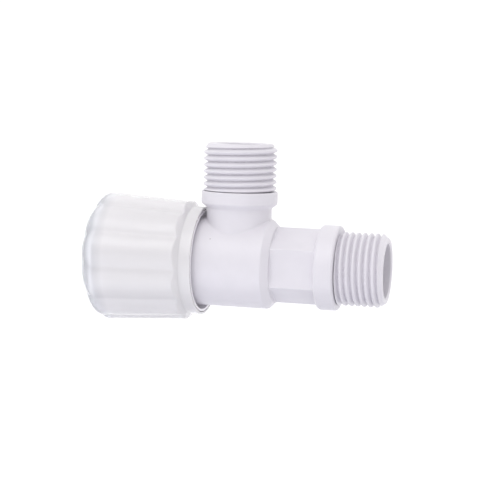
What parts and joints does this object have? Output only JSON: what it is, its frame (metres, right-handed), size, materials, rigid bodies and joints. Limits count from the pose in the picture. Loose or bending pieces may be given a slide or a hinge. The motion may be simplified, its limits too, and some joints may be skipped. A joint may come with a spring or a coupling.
{
  "type": "angle stop valve",
  "caption": "Angle stop valve with male half-inch pipe threads at a right angle, a spanner hexagon and a fluted clear-shelled hand knob on a rising spindle.",
  "frame": {"origin": "centre of the inlet's flat end face, on the barrel's axis", "axes": "+X along the barrel's axis out of the inlet, +Z out of the outlet branch, the knob lies at -X"},
  "size_m": [0.0887, 0.0374, 0.0531],
  "materials": {
    "body_pvc": "semi-gloss moulded white PVC",
    "bonnet_acetal": "satin moulded acetal",
    "rubber": "matt black rubber",
    "brass": "turned brass",
    "steel": "plain stainless steel",
    "knob_white": "semi-gloss moulded white plastic",
    "knob_clear": "clear polished acrylic"
  },
  "bodies": {
    "valve": {"valve_body": "body_pvc", "bonnet": "bonnet_acetal", "bonnet_gasket": "rubber"},
    "jumper_set": {"jumper": "bonnet_acetal", "seat_washer": "rubber", "washer_screw": "brass"},
    "knob_set": {"spindle": "brass", "stem_o_ring_inner": "rubber", "stem_o_ring_outer": "rubber", "knob_core": "knob_white", "knob_shell": "knob_clear", "index_cap": "knob_white", "knob_screw": "steel", "knob_screw_washer": "steel"}
  },
  "joints": [
    {"name": "jumper_lift", "type": "slide", "parent": "valve", "child": "jumper_set", "axis": [-1, 0, 0], "range_m": [0, 0.0044]},
    {"name": "knob_turn", "type": "hinge", "parent": "jumper_set", "child": "knob_set", "pos_m": [-0.0436, 0, 0], "axis": [-1, 0, 0], "range_deg": [0, 630]}
  ],
  "couplings": [
    {"joint": "jumper_lift", "follows": "knob_turn", "m_per_rad": 0.00039789}
  ]
}
